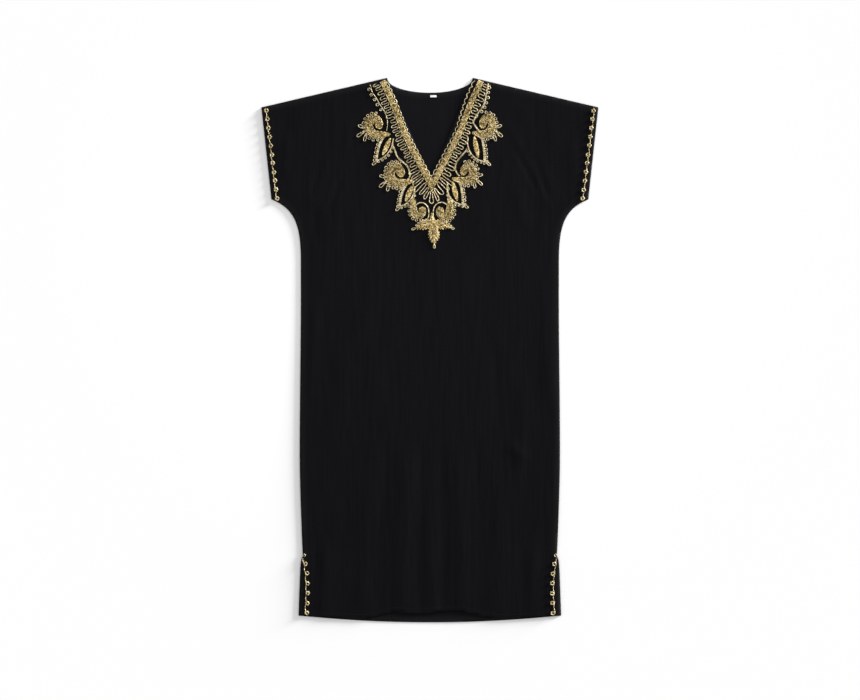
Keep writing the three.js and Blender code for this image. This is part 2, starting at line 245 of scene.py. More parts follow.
def metal_thread(name, dull, middle, bright, metallic, roughness):
    material, tree = new_material(name)
    place = add_node(tree, "ShaderNodeTexCoord").outputs["Object"]
    stitches = add_node(tree, "ShaderNodeTexVoronoi", {"Vector": place},
                        {"Scale": 1 / (STITCH_MM * MM)})
    turned = add_node(tree, "ShaderNodeSeparateColor", {"Color": stitches.outputs["Color"]})
    winding = add_node(tree, "ShaderNodeTexWave", {"Vector": place},
                       {"Scale": WAVE_TO_WIDTH / (FILM_WIDTH_MM * MM), "Distortion": 6.0,
                        "Detail": 1.0}, bands_direction="DIAGONAL")
    # painted glint and shade: each stitch cell gets a tone from a painted shade (dull) to a painted
    # glint (bright)
    tone = add_node(tree, "ShaderNodeValToRGB", {"Fac": turned.outputs["Red"]})
    tone.color_ramp.elements[0].color = linear(dull)
    tone.color_ramp.elements[0].position = 0.1
    tone.color_ramp.elements[1].color = linear(bright)
    tone.color_ramp.elements[1].position = 0.9
    tone.color_ramp.elements.new(0.5).color = linear(middle)
    film = add_node(tree, "ShaderNodeBump", {"Height": winding.outputs["Fac"]},
                    {"Strength": 0.5, "Distance": 0.15 * MM})
    thread = add_node(tree, "ShaderNodeBsdfPrincipled",
                      {"Base Color": tone.outputs["Color"], "Normal": film.outputs[0]},
                      {"Metallic": metallic, "Roughness": roughness})
    add_node(tree, "ShaderNodeOutputMaterial", {"Surface": thread.outputs[0]})
    return material


gilt = metal_thread("gilt_metallised_thread_chain_stitched",
                    "#453612", "#a98e4e", "#f8e4ab", 0.42, 0.54)
# a paler copy of the gold: painted highlight on the couched cord
gilt_painted_highlight = metal_thread("gilt_cord_couched_painted_highlight", "#7c6e48", "#c0ae80", "#f6ebca", 0.42, 0.5)
# a copy of the gold with weaker painted glints, for loops that stand half on edge
gilt_painted_weak_glint = metal_thread("gilt_cord_looped_painted_weak_glint", "#4e4229", "#a99568", "#f0e2b8", 0.42, 0.54)
print("threads:", gilt.name, gilt_painted_highlight.name, gilt_painted_weak_glint.name)

# %% [markdown]
# The label is a narrow woven polyester tape, close and white, with nothing on it. The sewing
# thread is plain black spun polyester, as dark as the crepe, so its stitches show only where they
# stand up. Both are ribbed, one by its weft and the other by its twist, and the valleys of the ribs
# are painted darker as painted shade.
# %% Label tape and sewing thread
TAPE_RIB_MM = 0.8
TWIST_MM = 0.5
RIB_PAINTED_SHADE = 0.86


def plain_textile(name, colour, rib_mm, roughness):
    material, tree = new_material(name)
    place = add_node(tree, "ShaderNodeTexCoord").outputs["Object"]
    ribs = add_node(tree, "ShaderNodeTexWave", {"Vector": place},
                    {"Scale": WAVE_TO_WIDTH / (rib_mm * MM)}, bands_direction="Y")
    bump = add_node(tree, "ShaderNodeBump", {"Height": ribs.outputs["Fac"]},
                    {"Strength": 0.4, "Distance": 0.1 * MM})
    tone = add_node(tree, "ShaderNodeMix", {"Factor": ribs.outputs["Fac"]}, data_type="RGBA")
    # painted shade: the valleys of the ribs are painted darker
    tone.inputs["A"].default_value = [RIB_PAINTED_SHADE * c for c in linear(colour)[:3]] + [1.0]
    tone.inputs["B"].default_value = linear(colour)
    body = add_node(tree, "ShaderNodeBsdfPrincipled",
                    {"Base Color": tone.outputs["Result"], "Normal": bump.outputs[0]},
                    {"Roughness": roughness, "Specular IOR Level": 0.2})
    add_node(tree, "ShaderNodeOutputMaterial", {"Surface": body.outputs[0]})
    return material


label_tape = plain_textile("white_polyester_tape_woven", "#f1f0ec", TAPE_RIB_MM, 0.8)
black_thread = plain_textile("black_spun_thread", "#0b0b0d", TWIST_MM, 0.7)
print("label and sewing:", label_tape.name, black_thread.name)

# %% [markdown]
# The cut is one line round the body and sleeves. Its sizes are those of the solids: half widths
# from the centre line, and heights from the middle of the garment's length. A smooth line through a
# few points is all that a pattern maker draws, so a spline through short tables does the same here.
# %% Cutting lines
HALF_LENGTH = 610.0
NECK_HALF = 96.5
BACK_NECK_DEPTH = 33.0
SLEEVE_TIP = (377.5, 544.0)
CUFF_FOOT = (355.0, 338.0)
UNDERARM_FOOT = (289.2, 202.0)
UNDERARM_CORNER = (289.2, 310.4)
UNDERARM_FULLNESS = 0.76
SIDE_SEAM = [(289.2, 202), (289.2, 68), (290.9, -112), (291.5, -246), (289.6, -336),
             (286.4, -425), (284.6, -461)]
SLIT_EDGE = [(284.6, -461), (288.2, -470), (290.2, -488), (292.0, -530), (294.2, -594.8)]
HEM_SAG = 15.2
V_POINT = (2.5, 382.0)
FRONT_HEM_CRESTS = [
    # across, how far the hem is drawn up there, and how wide
    (-76, 18, 46), (-5, 10, 38), (62, 20, 54), (0, 5, 160),
]


def spline(points, steps):
    """A smooth line through points, with steps pieces between each two of them."""
    rows = np.array(points, float)
    rows = np.vstack([2 * rows[0] - rows[1], rows, 2 * rows[-1] - rows[-2]])
    line = []
    for a, b, c, d in zip(rows, rows[1:], rows[2:], rows[3:]):
        for k in range(steps):
            t = k / steps
            line.append(0.5 * (2 * b + (c - a) * t + (2 * a - 5 * b + 4 * c - d) * t ** 2
                               + (3 * b - a - 3 * c + d) * t ** 3))
    return np.array(line + [rows[-2]])


def spaced(line, step, closed=False):
    """The same line with its points at even steps."""
    line = np.array(line, float)
    if closed:
        line = np.vstack([line, line[:1]])
    run = np.concatenate([[0], np.cumsum(np.linalg.norm(np.diff(line, axis=0), axis=1))])
    count = max(int(round(run[-1] / step)), 2)
    at = np.linspace(0, run[-1], count + 1)[:-1 if closed else None]
    return np.column_stack([np.interp(at, run, line[:, k]) for k in range(line.shape[1])])


def flipped(line):
    return (np.array(line) * (-1, 1))[::-1]


def hem_y(x):
    return -HALF_LENGTH + HEM_SAG * (x / SLIT_EDGE[-1][0]) ** 2


def front_hem_y(x):
    drawn_up = sum(lift * np.exp(-((x - middle) / spread) ** 2)
                   for middle, lift, spread in FRONT_HEM_CRESTS)
    return hem_y(x) + drawn_up


cuff, foot, corner = (np.array(p) for p in (CUFF_FOOT, UNDERARM_FOOT, UNDERARM_CORNER))
pull_in = cuff + (corner - cuff) * UNDERARM_FULLNESS
pull_out = foot + (corner - foot) * UNDERARM_FULLNESS
t = np.linspace(0, 1, 25)[:, None]
underarm = ((1 - t) ** 3 * cuff + 3 * (1 - t) ** 2 * t * pull_in
            + 3 * (1 - t) * t ** 2 * pull_out + t ** 3 * foot)
shoulder = np.array([(NECK_HALF, HALF_LENGTH), SLEEVE_TIP])
side, slit = spline(SIDE_SEAM, 8), spline(SLIT_EDGE, 6)
right_edge = np.vstack([shoulder, underarm, side[1:], slit[1:]])
hem_x = np.linspace(SLIT_EDGE[-1][0], -SLIT_EDGE[-1][0], 61)[1:-1]
back_hem = np.column_stack([hem_x, hem_y(hem_x)])
front_hem = np.column_stack([hem_x, front_hem_y(hem_x)])
turn = np.linspace(math.pi, 2 * math.pi, 31)[1:-1]
back_neck = np.column_stack([NECK_HALF * np.cos(turn),
                             HALF_LENGTH + BACK_NECK_DEPTH * np.sin(turn)])
front_outline = np.vstack([right_edge, front_hem, flipped(right_edge), [V_POINT]])
back_outline = np.vstack([right_edge, back_hem, flipped(right_edge), back_neck])
print("cutting line points, front and back:", len(front_outline), len(back_outline))

# %% [markdown]
# Cloth laid flat is never quite flat. The folds are listed one by one from their root to their tip,
# each with its own spread and height, uneven as they are on the real garment: slanting ones under
# the arms, where the sleeve pulls, and long soft ones above the hem. A low ripple runs between
# them. A cloth simulation would settle these away, so a height for every point of the front is
# worked out instead.
# %% Folds of the front
FRONT_LIE = 3.3
FOLD_TAPER = 90.0
TAPER_SHARE = 0.3
SWAY_RUN = 70
RIPPLE_RISE, RIPPLE_RUN, RIPPLE_BEND, BEND_RUN = 0.10, 13, 1.6, 97
SWELL_RISE, SWELL_ACROSS, SWELL_ALONG = 0.12, 31, 140
FOLDS = [
    # root x, root y, tip x, tip y, spread, rise, sway
    (-234, 452, -276, 300, 16, 0.8, 0),
    (-196, 340, -216, 240, 14, 0.6, 0),
    (236, 432, 272, 302, 16, 0.8, 0),
    (188, 388, 222, 250, 14, 0.6, 0),
    (-236, 446, -272, 334, 4.5, -1.2, 2),
    (-194, 400, -232, 300, 4.5, -1.1, 2),
    (-172, 520, -196, 440, 7, 0.7, 2),
    (234, 448, 272, 330, 4.5, -1.1, -2),
    (187, 462, 254, 340, 4.5, -1.2, -2),
    (176, 520, 204, 440, 7, 0.7, -2),
    (-262, 330, -252, 240, 6, -0.8, -3),
    (216, 452, 278, 310, 5, -0.7, 3),
    (-262, 150, -264, -150, 13, 0.9, 3),
    (262, 150, 266, -150, 13, 0.9, -3),
    (-143, -250, -146, -640, 20, 0.7, 4),
    (-60, -190, -55, -640, 20, 1.1, 4),
    (4, -300, 5, -640, 13, 0.7, -2),
    (66, -190, 68, -640, 20, 1.15, -4),
    (148, -230, 152, -640, 20, 0.7, 4),
    (170, -206, 222, -250, 13, 1.3, 0),
    (-234, -420, -236, -630, 13, 0.9, 2),
    (232, -420, 236, -630, 13, 0.9, -2),
    (-103, -170, -110, -420, 8, -0.5, 4),
    (-24, -160, -22, -640, 8, -0.6, 3),
    (28, -150, 28, -640, 7, -0.6, -3),
    (106, -180, 112, -400, 8, -0.5, -4),
    (140, 40, 150, -200, 9, -0.5, 4),
    (-255, -360, -256, -520, 7, -0.6, 2),
    (258, -350, 256, -520, 7, -0.6, -2),
    (2, 210, 6, 40, 7, -0.5, 2),
    (-318, 500, -330, 372, 11, 0.8, 2),
    (316, 496, 330, 366, 11, 0.8, -2),
    (-120, 240, -150, 20, 18, 0.6, 6),
    (-190, 60, -196, -200, 14, 0.5, -5),
    (206, -20, 200, -330, 14, 0.6, 5),
]


def smooth(t):
    s = np.clip(t, 0, 1)
    return s * s * (3 - 2 * s)


def front_height(x, y):
    """How high the front's face lies at each point, in millimetres."""
    x, y = np.asarray(x, float), np.asarray(y, float)
    ripple = RIPPLE_RISE * np.sin(x / RIPPLE_RUN + RIPPLE_BEND * np.sin(y / BEND_RUN))
    swell = SWELL_RISE * np.sin(x / SWELL_ACROSS + y / SWELL_ALONG)
    total = FRONT_LIE + ripple + swell
    for x0, y0, x1, y1, spread, rise, sway in FOLDS:
        length = math.hypot(x1 - x0, y1 - y0)
        ux, uy = (x1 - x0) / length, (y1 - y0) / length
        run = (x - x0) * ux + (y - y0) * uy
        away = (x - x0) * uy - (y - y0) * ux + sway * np.sin(run / SWAY_RUN)
        taper = min(FOLD_TAPER, TAPER_SHARE * length)
        ends = smooth(run / taper) * smooth((length - run) / taper)
        total = total + rise * ends * np.exp(-(away / spread) ** 2)
    return total


print("highest fold:", round(float(front_height([-57, 67], [-500, -500]).max()), 2), "mm")

# %% [markdown]
# Each panel starts as one flat face with the cut's outline, as cloth on the table does. Narrow
# insets follow the edge, so that it can be rolled over; planes then cut the face into a fine
# grid, which the folds can bend. The Solidify modifier at the end gives the cloth its thickness.
# %% Cut a panel
CELL = 7.0
EDGE_RINGS = (0.5, 0.7, 1.0, 1.6)


def cut_panel(outline):
    bm = bmesh.new()
    face = bm.faces.new([bm.verts.new((x, y, 0)) for x, y in outline])
    bm.normal_update()
    if face.normal.z < 0:
        face.normal_flip()
    for step in EDGE_RINGS:
        bmesh.ops.inset_region(bm, faces=[face], thickness=step, use_even_offset=True)
    low, high = np.min(outline, axis=0), np.max(outline, axis=0)
    for axis in (0, 1):
        for k in range(int(low[axis] // CELL) + 1, int(high[axis] // CELL) + 1):
            plane = [0.0, 0.0, 0.0]
            plane[axis] = k * CELL + 0.01
            normal = (1, 0, 0) if axis == 0 else (0, 1, 0)
            bmesh.ops.bisect_plane(bm, geom=bm.verts[:] + bm.edges[:] + bm.faces[:], dist=1e-4,
                                   plane_co=plane, plane_no=normal)
    return bm


# %% [markdown]
# A cut panel gets its form from its height at each point. Near an edge the cloth rolls over and
# comes down a little. A turned hem is two layers thick, so the free edges stand a little higher for
# the width of the hem. The distance from the edges is found with a tree of points along them.
# %% Lay a panel
ROLL = 3.4
HEM_WIDTH = 14.0
HEM_RISE = 0.1
HEM_STEP = 7.0
CLOTH_THICK = 1.0


def edge_tree(lines):
    """Finds how far a point is from the nearest of some edges."""
    points = np.vstack([spaced(line, 1.0) for line in lines])
    tree = kdtree.KDTree(len(points))
    for k, (x, y) in enumerate(points):
        tree.insert((x, y, 0), k)
    tree.balance()
    return tree


def finish_panel(bm, name, material, height, all_edges, free_edges, roll_drop):
    every, free = edge_tree(all_edges), edge_tree(free_edges)
    points = [v.co.copy() for v in bm.verts]
    from_edge = [every.find(point)[2] for point in points]
    heights = height([p.x for p in points], [p.y for p in points])
    for vert, point, level, distance in zip(bm.verts, points, heights, from_edge):
        inside = min(distance / ROLL, 1.0)
        roll = roll_drop * (1 - math.sqrt(1 - (1 - inside) ** 2))
        hem = HEM_RISE * float(smooth((HEM_WIDTH - free.find(point)[2]) / HEM_STEP))
        vert.co.z = level + hem - roll
    bmesh.ops.scale(bm, vec=(MM, MM, MM), verts=bm.verts)
    mesh = bpy.data.meshes.new(name)
    bm.to_mesh(mesh)
    bm.free()
    mesh.materials.append(material)
    mesh.shade_smooth()
    mesh.attributes.new("from_edge", "FLOAT", "POINT").data.foreach_set("value", from_edge)
    piece = bpy.data.objects.new(name, mesh)
    scene.collection.objects.link(piece)
    wall = piece.modifiers.new("thickness", "SOLIDIFY")
    wall.thickness = CLOTH_THICK * MM
    wall.offset = -1
    return piece


# %% [markdown]
# The front: its seams are the shoulders, underarms and sides, and its free edges are the V neck,
# the cuffs, the slits and the hem. All but the hem are rolled over and get a painted highlight as a
# pale rim, since the front's hem lies as flat and dark as the cloth round it.
# %% Front panel
FRONT_ROLL = 0.35
v_line = np.array([(-NECK_HALF, HALF_LENGTH), V_POINT, (NECK_HALF, HALF_LENGTH)])
cuff_edge = np.array([SLEEVE_TIP, CUFF_FOOT])
seams = [shoulder, underarm, side]
seams += [flipped(line) for line in seams]
cuffs_and_slits = [cuff_edge, slit, flipped(cuff_edge), flipped(slit)]
front_free = cuffs_and_slits + [v_line, np.vstack([slit[-1:], front_hem, flipped(slit)[:1]])]
# edges that roll over and carry the painted highlight of a pale rim
rolled_highlit_edges = seams + cuffs_and_slits + [v_line]
front = finish_panel(cut_panel(front_outline), "front_cloth", crepe, front_height,
                     rolled_highlit_edges, front_free, FRONT_ROLL)
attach(front, "root")
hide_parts("front_panel")
print("front faces:", len(front.data.polygons))

# %% [markdown]
# The back lies under the front and shows only in the neck and below the front hem. It rests on
# the floor, so its face has only the faintest waves.
# %% Back panel
BACK_LIE = 1.05
BACK_ROLL = 0.1
BACK_WAVE, WAVE_ACROSS, WAVE_BEND, WAVE_ALONG, WAVE_SHIFT = 0.18, 37, 29, 51, 0.6


def back_height(x, y):
    x, y = np.asarray(x, float), np.asarray(y, float)
    waves = np.sin(x / WAVE_ACROSS + np.sin(y / WAVE_BEND)) * np.sin(y / WAVE_ALONG + WAVE_SHIFT)
    return BACK_LIE + BACK_WAVE * (1 + waves)


back_neck_line = np.vstack([[(-NECK_HALF, HALF_LENGTH)], back_neck, [(NECK_HALF, HALF_LENGTH)]])
back_free = cuffs_and_slits + [back_neck_line, np.vstack([slit[-1:], back_hem, flipped(slit)[:1]])]
back = finish_panel(cut_panel(back_outline), "back_cloth", back_crepe_painted_lighter, back_height,
                    seams + back_free, back_free, BACK_ROLL)
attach(back, "root")
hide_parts("back_panel")
print("back faces:", len(back.data.polygons))

# %% [markdown]
# Everything in thread is a cord along a line: chain stitch, couched cord or sewing. A curve with a
# round bevel makes the cord, and a radius that swells at every stitch makes it a row of beads, as
# a chained or wound thread looks. Many cords are gathered in a list and made one mesh.
# %% Cords
CORD_STEP = 0.8
BEAD = 3.4
SEAT = 0.42  # how high a cord's middle lies above the cloth, as a share of its thickness


def on_front(line, thick, lift=0.0, bead=BEAD, swell=0.3, closed=False):
    """Lays a cord along a line on the front: its points in millimetres and the radius at each."""
    points = spaced(line, CORD_STEP, closed)
    x, y = points[:, 0], points[:, 1]
    z = front_height(x, y) + lift + thick * SEAT
    phase = chance.uniform(0, 2 * math.pi)
    beat = np.cos(np.arange(len(points)) * CORD_STEP / bead * 2 * math.pi + phase)
    return np.column_stack([x, y, z]), thick / 2 * (1 - swell + swell * beat), closed


def sew(name, cords, material, slot_name, *nodes):
    """Makes one mesh piece of many cords."""
    curve = bpy.data.curves.new(name, "CURVE")
    curve.dimensions = "3D"
    curve.bevel_depth = MM
    curve.bevel_resolution = 1
    curve.use_fill_caps = True
    for points, radii, closed in cords:
        line = curve.splines.new("POLY")
        line.points.add(len(points) - 1)
        line.points.foreach_set("co", np.column_stack([points * MM, np.ones(len(points))]).ravel())
        line.points.foreach_set("radius", radii)
        line.use_cyclic_u = closed
    soft = bpy.data.objects.new(name, curve)
    scene.collection.objects.link(soft)
    made = soft.evaluated_get(bpy.context.evaluated_depsgraph_get())
    mesh = bpy.data.meshes.new_from_object(made)
    bpy.data.objects.remove(soft)
    bpy.data.curves.remove(curve)
    mesh.name = name
    mesh.materials.clear()
    mesh.materials.append(material)
    mesh.shade_smooth()
    piece = bpy.data.objects.new(name, mesh)
    scene.collection.objects.link(piece)
    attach(piece, "root")
    if nodes:
        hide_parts(*nodes)
    mesh.calc_loop_triangles()
    print(name, "cords:", len(cords), "triangles:", len(mesh.loop_triangles))


def beside(line, distance):
    """The same line moved to its right by a distance, which may be a number for each point."""
    along = np.gradient(line, axis=0)
    along /= np.linalg.norm(along, axis=1)[:, None]
    across = np.column_stack([along[:, 1], -along[:, 0]])
    return line + across * np.reshape(distance, (-1, 1))


# %% [markdown]
# The gold band follows the V of the neck. It is filled solid with rows of chain stitch that run
# along it, five side by side, turned at the point of the V. The whole embroidery lies 4 mm to the
# right of the garment's middle, as it does on the real one.
# %% Neck band
EMBROIDERY_X = 4.0
BAND_WIDTH = 12.6
ROW = 2.6
ROW_THICK = 2.8
BAND_ROWS = 5
BAND = [(0, 367.5), (30.5, 425), (60.6, 484), (75, 521), (89.5, 558.3), (100.8, 582), (110.5, 603)]


def band_side(sign, steps=10):
    return spline(np.array(BAND) * (sign, 1) + (EMBROIDERY_X, 0), steps)


def band_line(offset):
    """The whole V at an offset from its centre line, outward if positive, mitred at the point."""
    right = beside(band_side(1), offset)
    left = beside(band_side(-1), -offset)
    keep_right = right[right[:, 0] >= EMBROIDERY_X]
    keep_left = left[left[:, 0] <= EMBROIDERY_X]
    reach = offset / math.sin(math.atan2(BAND[1][0], BAND[1][1] - BAND[0][1]))
    point = np.array([[EMBROIDERY_X, BAND[0][1] - reach]])
    return np.vstack([keep_left[::-1], point, keep_right])


rows = (np.arange(BAND_ROWS) - BAND_ROWS // 2) * ROW
band_cords = [on_front(band_line(offset), ROW_THICK, chance.uniform(0, 0.3)) for offset in rows]
sew("neck_band_stitches", band_cords, gilt, "gold_thread", "neck_band")

# %% [markdown]
# On the neck side of the band a thin cord stands off in small arches. On the right side, called 1
# here, they are higher and leave the band towards the shoulder; on the left side, -1, they stay
# close to it.
# %% Arches at the neck edge
THIN = 1.6
ARCH = 13.4
ARCH_HEIGHT = {1: 4.8, -1: 3.4}
ARCH_ROUND = 0.7
LEAVE = {1: 5.0, -1: 0.3}
LEAVE_FROM, LEAVE_OVER = 0.45, 0.5
ARCH_GAP = 0.2


def lengths(line):
    return np.concatenate([[0], np.cumsum(np.linalg.norm(np.diff(line, axis=0), axis=1))])


arches = []
for sign in (-1, 1):
    edge = spaced(beside(band_side(sign), -sign * BAND_WIDTH / 2), 0.6)[20:-8]
    run = lengths(edge)
    stand = ARCH_HEIGHT[sign] * np.abs(np.sin(run / ARCH * math.pi)) ** ARCH_ROUND
    top = smooth((run / run[-1] - LEAVE_FROM) / LEAVE_OVER) * LEAVE[sign]
    off_band = -sign * (stand + top + ARCH_GAP)
    arches.append(on_front(beside(edge, off_band), THIN, bead=1.8, swell=0.12))
sew("neck_edge_arches", arches, gilt_painted_highlight, "gold_thread")

# %% [markdown]
# On the outer side of the band a cord winds to and fro in close rounded turns. It is one cord from
# shoulder to shoulder, so the line of places and directions that it swings on goes round the point
# of the V like the ribs of a fan.
# %% Where the winding cord swings
WIND_GAP = 0.8
WIND_REACH = [
    # share of the way from the point of the V, and how far the cord swings out
    (0.0, 24), (0.04, 31), (0.11, 31), (0.2, 18), (0.36, 13.5), (0.46, 17), (0.55, 12.5),
    (0.68, 14.5), (1.0, 14),
]
FAN_START = 0.2
FAN_WAY = (0.62, -0.78)
POINT_PLACES = 24
POINT_DROP = 10.0


def swing_places(sign):
    """Where the winding cord starts its swings, which way and how far, from the V's point up."""
    edge = spaced(beside(band_side(sign, 30), sign * (BAND_WIDTH / 2 + WIND_GAP)), 0.5)
    edge = edge[(edge[:, 0] - EMBROIDERY_X) * sign > 2.0]
    part = lengths(edge) / lengths(edge)[-1]
    along = np.gradient(edge, axis=0)
    across = np.column_stack([along[:, 1], -along[:, 0]]) * sign
    across /= np.linalg.norm(across, axis=1)[:, None]
    fan = smooth(1 - part / FAN_START)[:, None]
    across = across * (1 - fan) + np.array([FAN_WAY[0] * sign, FAN_WAY[1]]) * fan
    across /= np.linalg.norm(across, axis=1)[:, None]
    reach = np.interp(part, [row[0] for row in WIND_REACH], [row[1] for row in WIND_REACH])
    return edge, across, reach


right_base, right_way, right_reach = swing_places(1)
left_base, left_way, left_reach = swing_places(-1)
turn = np.linspace(0, 1, POINT_PLACES)[1:-1, None]
point_base = left_base[0] * (1 - turn) + right_base[0] * turn
point_base = point_base - (0, POINT_DROP) * np.sin(math.pi * turn)
point_way = left_way[0] * (1 - turn) + right_way[0] * turn
point_way /= np.linalg.norm(point_way, axis=1)[:, None]
base = np.vstack([left_base[::-1], point_base, right_base])
way = np.vstack([left_way[::-1], point_way, right_way])
point_reach = np.full(len(point_base), WIND_REACH[0][1])
reach = np.concatenate([left_reach[::-1], point_reach, right_reach])
print("places to swing from:", len(base))

# %% [markdown]
# Each swing out and back is one full wave. Its length differs on the two sides and near the point,
# and slow waves make it uneven, as a hand-guided cord is. The cord moves on along the band mostly
# at the ends of a swing, which makes its turns round and its swings straight. Two more slow waves
# vary how far it reaches.
# %% Winding cord
WIND_STEP = {1: 12.8, -1: 11.0}
POINT_STEP = 1.08
POINT_NEAR, POINT_FAR = 1.6, 50
UNEVEN = [(0.7, 23), (0.5, 9.1)]
FAN_UNEVEN = 0.5
FAN_UNEVEN_RUN = 5.3
FAN_SPREAD = 45
WIND_POINTS = 6000
TURN_ROUND = 0.62
REACH_WAVES = [(0.13, 3.1), (0.09, 1.7)]
TURN_GAP = 0.8
WIND_CORD = 1.75

run = lengths(base + way * reach[:, None] / 2)
step = np.where(np.arange(len(base)) < len(left_base), WIND_STEP[-1], WIND_STEP[1])
from_point = np.linalg.norm(base - (EMBROIDERY_X, BAND[0][1]), axis=1)
step = step * (1 + (POINT_STEP - 1) * smooth(POINT_NEAR - from_point / POINT_FAR))
wave = np.concatenate([[0], np.cumsum(np.diff(run) / step[1:])]) * 2 * math.pi
wave += sum(share * np.sin(run / length) for share, length in UNEVEN)
wave += FAN_UNEVEN * np.sin(run / FAN_UNEVEN_RUN) * np.exp(-(from_point / FAN_SPREAD) ** 2)
fine = np.linspace(0, len(base) - 1, WIND_POINTS)
wave = np.interp(fine, np.arange(len(base)), wave)
place = np.interp(wave - TURN_ROUND * np.sin(2 * wave), wave, fine)
base_x, base_y, way_x, way_y, far = (np.interp(place, np.arange(len(base)), column)
                                     for column in (*base.T, *way.T, reach))
vary = 1
for share, length in REACH_WAVES:
    vary = vary + share * np.sin(wave / length)
swing = far * vary * (0.5 + 0.5 * np.sin(wave)) + TURN_GAP
winding_line = np.column_stack([base_x + way_x * swing, base_y + way_y * swing])
winding = on_front(winding_line, WIND_CORD, 0.1, bead=2.0, swell=0.12)
sew("winding_cord", [winding], gilt_painted_highlight, "gold_thread")

# %% [markdown]
# Two small helpers make the trimmings that repeat everywhere: a round ring of cord, and a long
# loop from a base to its tip. No two rings are quite alike: each is moved and sized a little by
# chance.
# %% Rings and loops
RING = 7.2
RING_CORD = 1.5
RING_LINE = 0.8  # the cord's middle line, as a share of the ring's size
RING_STRAY = 0.5


def ring(x, y, size=RING):
    turn = np.linspace(0, 2 * math.pi, 13)[:-1]
    line = np.column_stack([x + size / 2 * np.cos(turn) * RING_LINE,
                            y + size / 2 * np.sin(turn) * RING_LINE])
    return on_front(line, RING_CORD, 0.3, swell=0.1, closed=True)


def rings_along(line, pitch, away, size=RING):
    made = []
    for x, y in spaced(beside(line, away), pitch):
        x = x + chance.uniform(-RING_STRAY, RING_STRAY)
        y = y + chance.uniform(-RING_STRAY, RING_STRAY)
        made.append(ring(x, y, size * chance.uniform(0.85, 1.1)))
    return made


def loop(base, tip, width):
    base, tip = np.array(base, float), np.array(tip, float)
    along = tip - base
    across = np.array([along[1], -along[0]]) / np.linalg.norm(along)
    turn = np.linspace(0, 2 * math.pi, 25)[:-1]
    out = (1 - np.cos(turn)) / 2
    wide = np.sin(turn) * (0.35 + 0.65 * out) * width / 2
    line = base + np.outer(out, along) + np.outer(wide, across)
    return on_front(line, THIN, 0.4, swell=0.12, closed=True)


# %% [markdown]
# A paisley is a curled leaf: a narrow stem that widens, rounds an oval and ends in a bulb. One
# line down its middle with the half width at each point describes it, and rows of chain stitch
# that keep to the same share of the width fill it. The four large ones are the same leaf, sized,
# turned and made broader or narrower, and the two small scrolls share a second, rounder one.
# %% Curled leaf
CURL = [
    # x, y and half width along the middle line, from the stem to the bulb
    (-35.0, -19.0, 1.6), (-24.0, -19.3, 5.4), (-12.0, -19.6, 7.8), (0.0, -18.7, 9.2),
    (7.4, -13.2, 9.8), (11.8, -4.5, 9.2), (11.9, 5.5, 9.2), (6.0, 13.4, 9.8),
    (-2.5, 14.2, 10.2), (-8.8, 7.5, 9.4), (-10.0, 0.5, 8.5), (-10.2, -4.0, 6.2),
    (-10.2, -7.0, 2.4),
]
SMALL_CURL = [
    (-11.2, 27.5, 4.2), (-13.0, 19.8, 5.8), (-12.7, 10.9, 7.0), (-11.6, 2.0, 8.0),
    (-8.8, -5.6, 8.4), (-1.8, -9.2, 7.6), (4.8, -7.4, 8.0), (8.0, -1.6, 8.4),
    (7.6, 4.4, 8.2), (6.0, 10.2, 4.0),
]
PAISLEYS = [
    # name, x, y, size, turn, side and how broad, table, and where the rings begin and end
    ("paisley_upper_right", 127.5, 504, 1.02, -2, 0.89, CURL, 0.2, 0.66),
    ("paisley_upper_left", -124, 502.5, 1.01, 0, -1.0, CURL, 0.2, 0.66),
    ("paisley_lower_right", 84.5, 397, 0.93, -8, 1.0, CURL, 0.22, 0.68),
    ("paisley_lower_left", -75.2, 394, 1.04, -6, -1.0, CURL, 0.2, 0.68),
    ("scroll_right", 31.3, 309.2, 1.07, 0, -1.0, SMALL_CURL, 0.2, 0.62),
    ("scroll_left", -24.5, 310.5, 0.98, 0, 1.0, SMALL_CURL, 0.2, 0.62),
]
TAIL_LOOPS = [((21, -5), (36, 1), 7.5), ((22, -12), (39, -24), 8.0), ((18, -17), (23, -34), 7.5)]
TAIL_WEDGE = [(14, -10), (22, -13), (31, -19)]
RING_PITCH = 9.2
RING_OFF = 0.45  # of a ring's size, from the leaf's edge to the ring's middle
LEAF_ROW_THICK = 2.55
LEAF_ROW_SWELL = 0.36


def placer(x, y, size, turn, side):
    """Puts points of a motif in its place on the front."""
    angle = math.radians(turn)
    cos, sin = math.cos(angle) * size, math.sin(angle) * size
    spin = np.array([[cos, -sin], [sin, cos]])
    return lambda points: (np.array(points, float) @ spin.T) * (side, 1) + (x, y)


trimmings = []
for name, x, y, size, turn, broad, table, ring_from, ring_to in PAISLEYS:
    place = placer(x, y, size, turn, broad)
    curl = spline(table, 10)
    middle, half = curl[:, :2], curl[:, 2]
    widest = half.max() * size
    count = int(round(2 * widest / ROW))
    shares = np.linspace(-1, 1, count) * (1 - LEAF_ROW_THICK / (2 * widest))
    cords = [on_front(place(beside(middle, half * share)), LEAF_ROW_THICK, chance.uniform(0, 0.5),
                      swell=LEAF_ROW_SWELL) for share in shares]
    if table is CURL:
        cords.append(on_front(place(spline(TAIL_WEDGE, 6)), ROW_THICK, 0.3))
        trimmings += [loop(place([low])[0], place([tip])[0], width * size)
                      for low, tip, width in TAIL_LOOPS]
    sew(name + "_stitches", cords, gilt, "gold_thread", name)
    outer = beside(middle, half + RING_OFF * RING / size)
    ringed = outer[int(ring_from * len(outer)):int(ring_to * len(outer))]
    trimmings += rings_along(place(ringed), RING_PITCH, 0)

